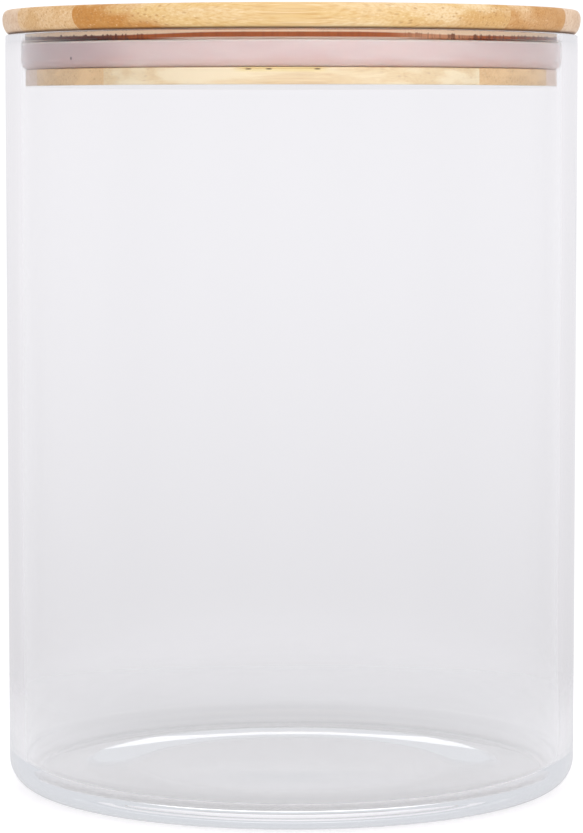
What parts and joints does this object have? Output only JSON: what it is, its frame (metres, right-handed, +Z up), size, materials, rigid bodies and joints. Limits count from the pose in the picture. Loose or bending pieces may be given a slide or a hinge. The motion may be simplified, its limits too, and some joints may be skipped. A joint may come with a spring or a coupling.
{
  "type": "lidded glass canister",
  "caption": "Straight-sided glass storage canister with a rounded base and a push-in laminated bamboo lid sealed by a translucent silicone ring.",
  "frame": {"origin": "centre of the surface that the jar stands on", "axes": "+Z up along the jar's axis; the lid's strips run along X"},
  "size_m": [0.1514, 0.1514, 0.2039],
  "materials": {
    "glass": "clear, polished, rounded at the mouth",
    "silicone": "translucent, satin",
    "bamboo_1": "sanded bamboo, light oil",
    "bamboo_2": "sanded bamboo, light oil",
    "bamboo_3": "sanded bamboo, light oil",
    "bamboo_4": "sanded bamboo, light oil",
    "bamboo_5": "sanded bamboo, light oil",
    "bamboo_6": "sanded bamboo, light oil",
    "bamboo_7": "sanded bamboo, light oil"
  },
  "bodies": {
    "jar": {"glass_jar": "glass"},
    "seal": {"silicone_seal": "silicone"},
    "lid": {"lid_strip_1": "bamboo_1", "lid_strip_2": "bamboo_2", "lid_strip_3": "bamboo_3", "lid_strip_4": "bamboo_4", "lid_strip_5": "bamboo_5", "lid_strip_6": "bamboo_6", "lid_strip_7": "bamboo_7"}
  },
  "joints": [
    {"name": "lid_lift", "type": "slide", "parent": "jar", "child": "seal", "axis": [0, 0, 1], "range_m": [0, 0.06]},
    {"name": "lid_turn", "type": "hinge", "parent": "seal", "child": "lid", "pos_m": [0, 0, 0.1939], "axis": [0, 0, 1], "continuous": true}
  ]
}
